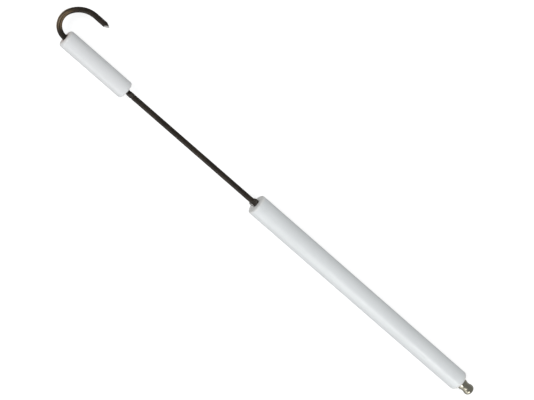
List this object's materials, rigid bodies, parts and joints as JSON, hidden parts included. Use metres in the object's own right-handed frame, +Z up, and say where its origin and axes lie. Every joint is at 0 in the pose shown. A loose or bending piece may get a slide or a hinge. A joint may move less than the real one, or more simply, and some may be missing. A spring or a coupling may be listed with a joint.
{
  "type": "flame sensor probe",
  "caption": "Flame-sensing electrode for a burner: a hooked heat-resistant rod in a long ceramic insulator and a loose ceramic bead, with a round push-on lead terminal.",
  "frame": {"origin": "on the probe's axis, halfway along the long insulator, where the burner's holder grips it", "axes": "+X along the probe from the sensing hook to the lead terminal; the hook turns towards +Y and lies in the XY plane; +Z up"},
  "size_m": [0.32, 0.0261, 0.012],
  "materials": {
    "oxidised_rod": "dark brown-black oxide skin on iron-chromium-aluminium wire, drawn lengthwise",
    "front_ceramic": "white fired ceramic, thin satin glaze",
    "glazed_ceramic": "white fired ceramic, satin glaze",
    "plated_terminal": "nickel plate on turned steel",
    "cement": "cream refractory cement, matt"
  },
  "bodies": {
    "probe": {"electrode_rod": "oxidised_rod", "long_insulator": "glazed_ceramic", "terminal_nut": "plated_terminal", "terminal_cement": "cement"},
    "front_bead": {"front_insulator": "front_ceramic"}
  },
  "joints": [
    {"name": "bead_spin", "type": "hinge", "parent": "probe", "child": "front_bead", "pos_m": [-0.19775, 0, 0], "axis": [1, 0, 0], "continuous": true}
  ]
}
